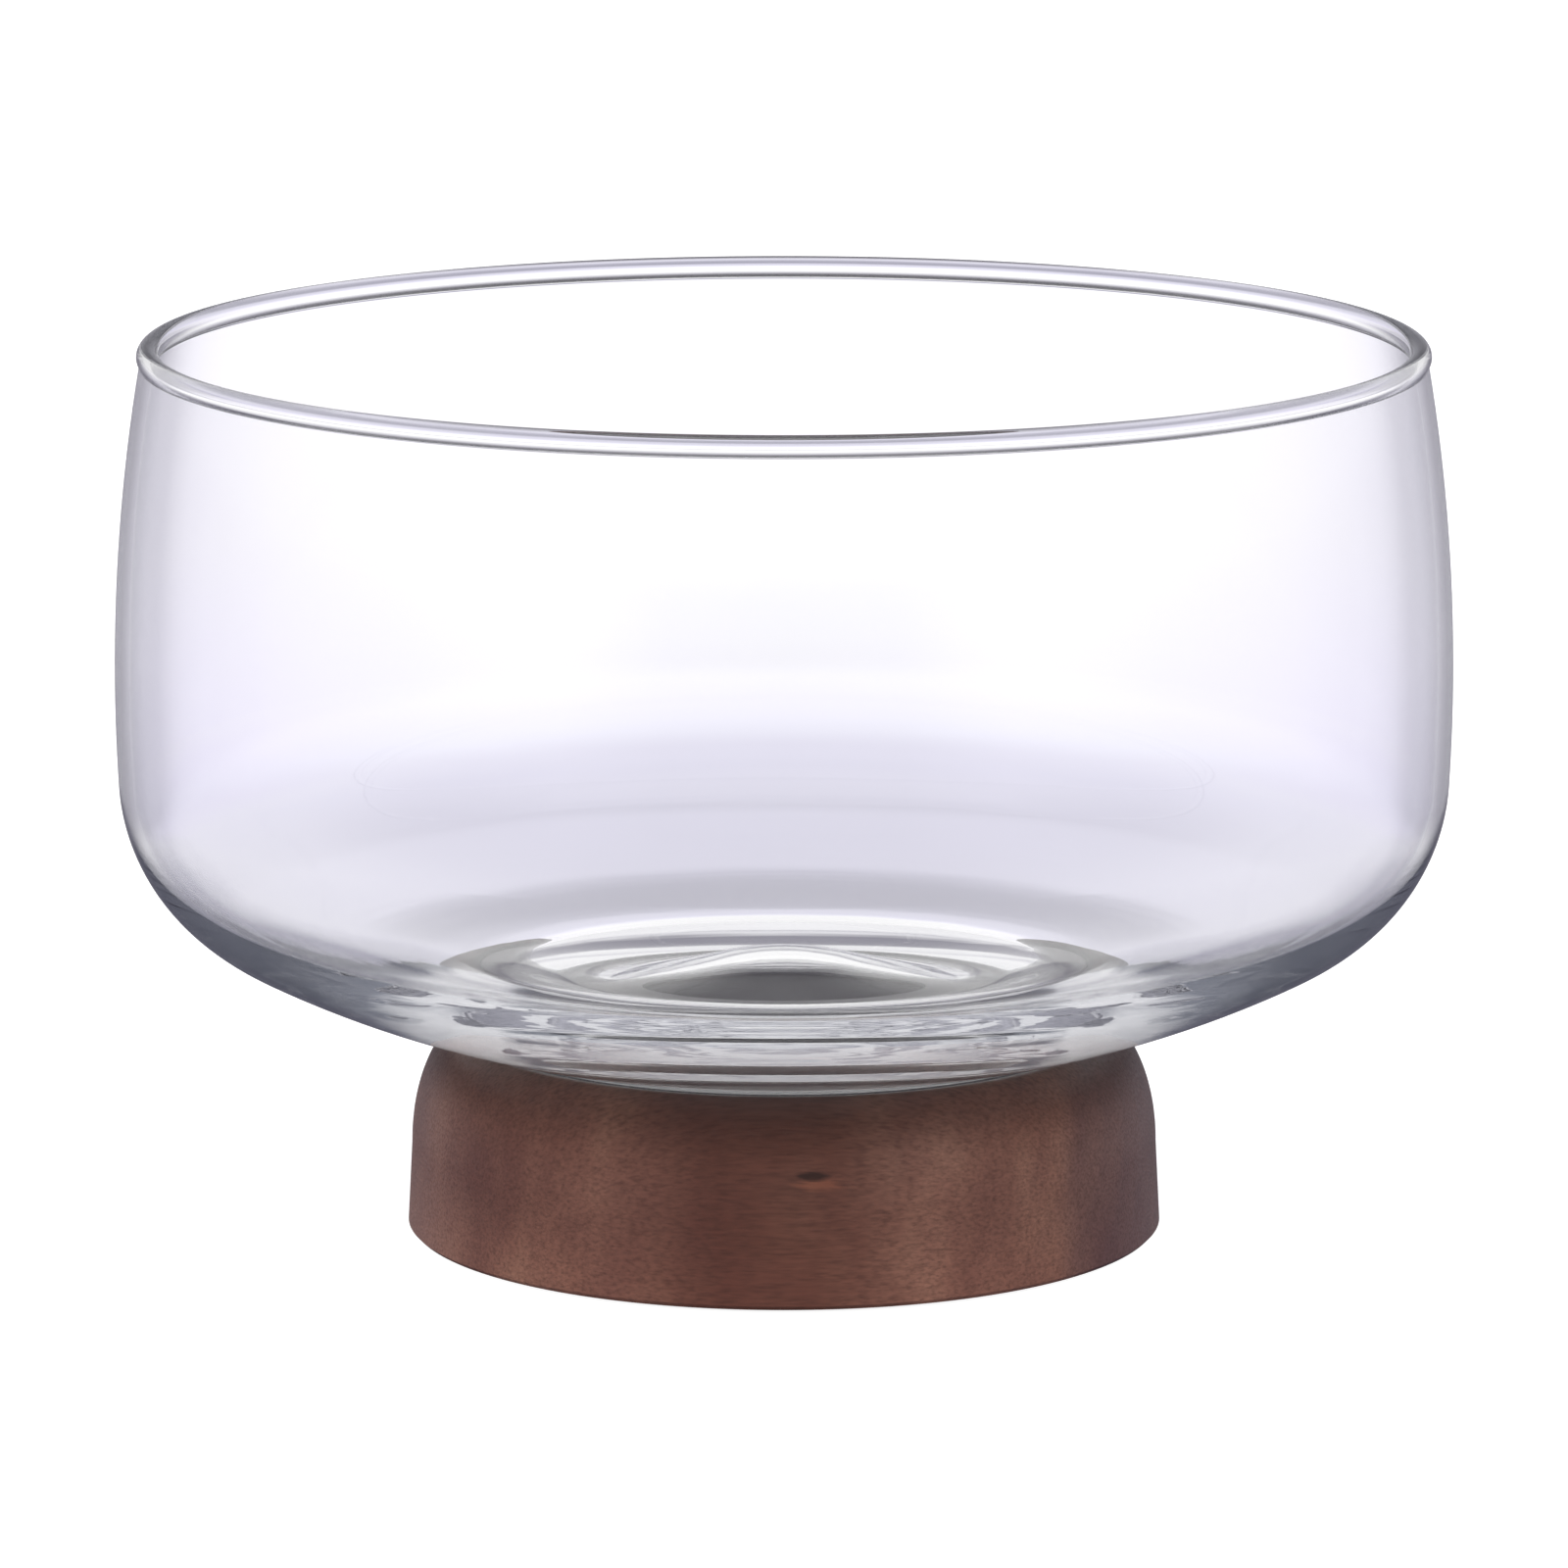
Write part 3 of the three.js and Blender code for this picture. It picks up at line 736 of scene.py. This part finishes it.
was_turned = node(tree, "Math", turns, ONCE, operation="GREATER_THAN")
light = node(tree, "Mix", was_turned, flagged, turned, data_type="RGBA")
glass_sees = node(tree, "Background", Color=light, Strength=WORLD_STRENGTH)
camera_sees = node(tree, "Background", Color=linear("#ffffff"), Strength=1.0)
node(tree, "OutputWorld", Surface=node(tree, "MixShader", ray["Is Camera Ray"], glass_sees, camera_sees))
print("world nodes:", len(tree.nodes))

# %% [markdown]
# Two large soft lamps stand in front, the stronger one at the left. They light the wood and lay the shadow, and they are
# kept out of reflections, where their square shapes would show in the glass.

# %% Lamps
LAMP_SIZE, LAMP_AIM = 0.9, Vector((0, 0, 0.06))
for name, stand, power in (("key_softbox", (-1.05, -1.15, 0.75), 20), ("fill_softbox", (1.05, -1.1, 0.75), 14)):
    data = bpy.data.lights.new(name, "AREA")
    data.size, data.energy = LAMP_SIZE, power
    lamp = bpy.data.objects.new(name, data)
    bpy.context.scene.collection.objects.link(lamp)
    lamp.location = stand
    lamp.rotation_euler = (LAMP_AIM - Vector(stand)).to_track_quat("-Z", "Y").to_euler()
    lamp.visible_glossy = lamp.visible_transmission = False
    print(name, "at", stand)

# %% [markdown]
# The camera stands well back, about 11 degrees above the table. Light that is caught in the glass floor needs many
# bounces to come out again, so the limits are raised.

# %% Camera
CAMERA_PLACE, CAMERA_DIP = (0, -1.642, 0.4015), 10.92
LENS, SENSOR_WIDTH, BOUNCES = 204.4, 36, 64
data = bpy.data.cameras.new("camera")
data.lens, data.sensor_width = LENS, SENSOR_WIDTH
camera = bpy.data.objects.new("camera", data)
bpy.context.scene.collection.objects.link(camera)
camera.location = CAMERA_PLACE
camera.rotation_euler = (math.radians(90 - CAMERA_DIP), 0, 0)
bpy.context.scene.camera = camera
bpy.context.scene.view_settings.view_transform = "Standard"
bpy.context.scene.cycles.max_bounces = BOUNCES
bpy.context.scene.cycles.transmission_bounces = BOUNCES
bpy.context.scene.cycles.glossy_bounces = BOUNCES
print("camera looks down by", CAMERA_DIP, "degrees")
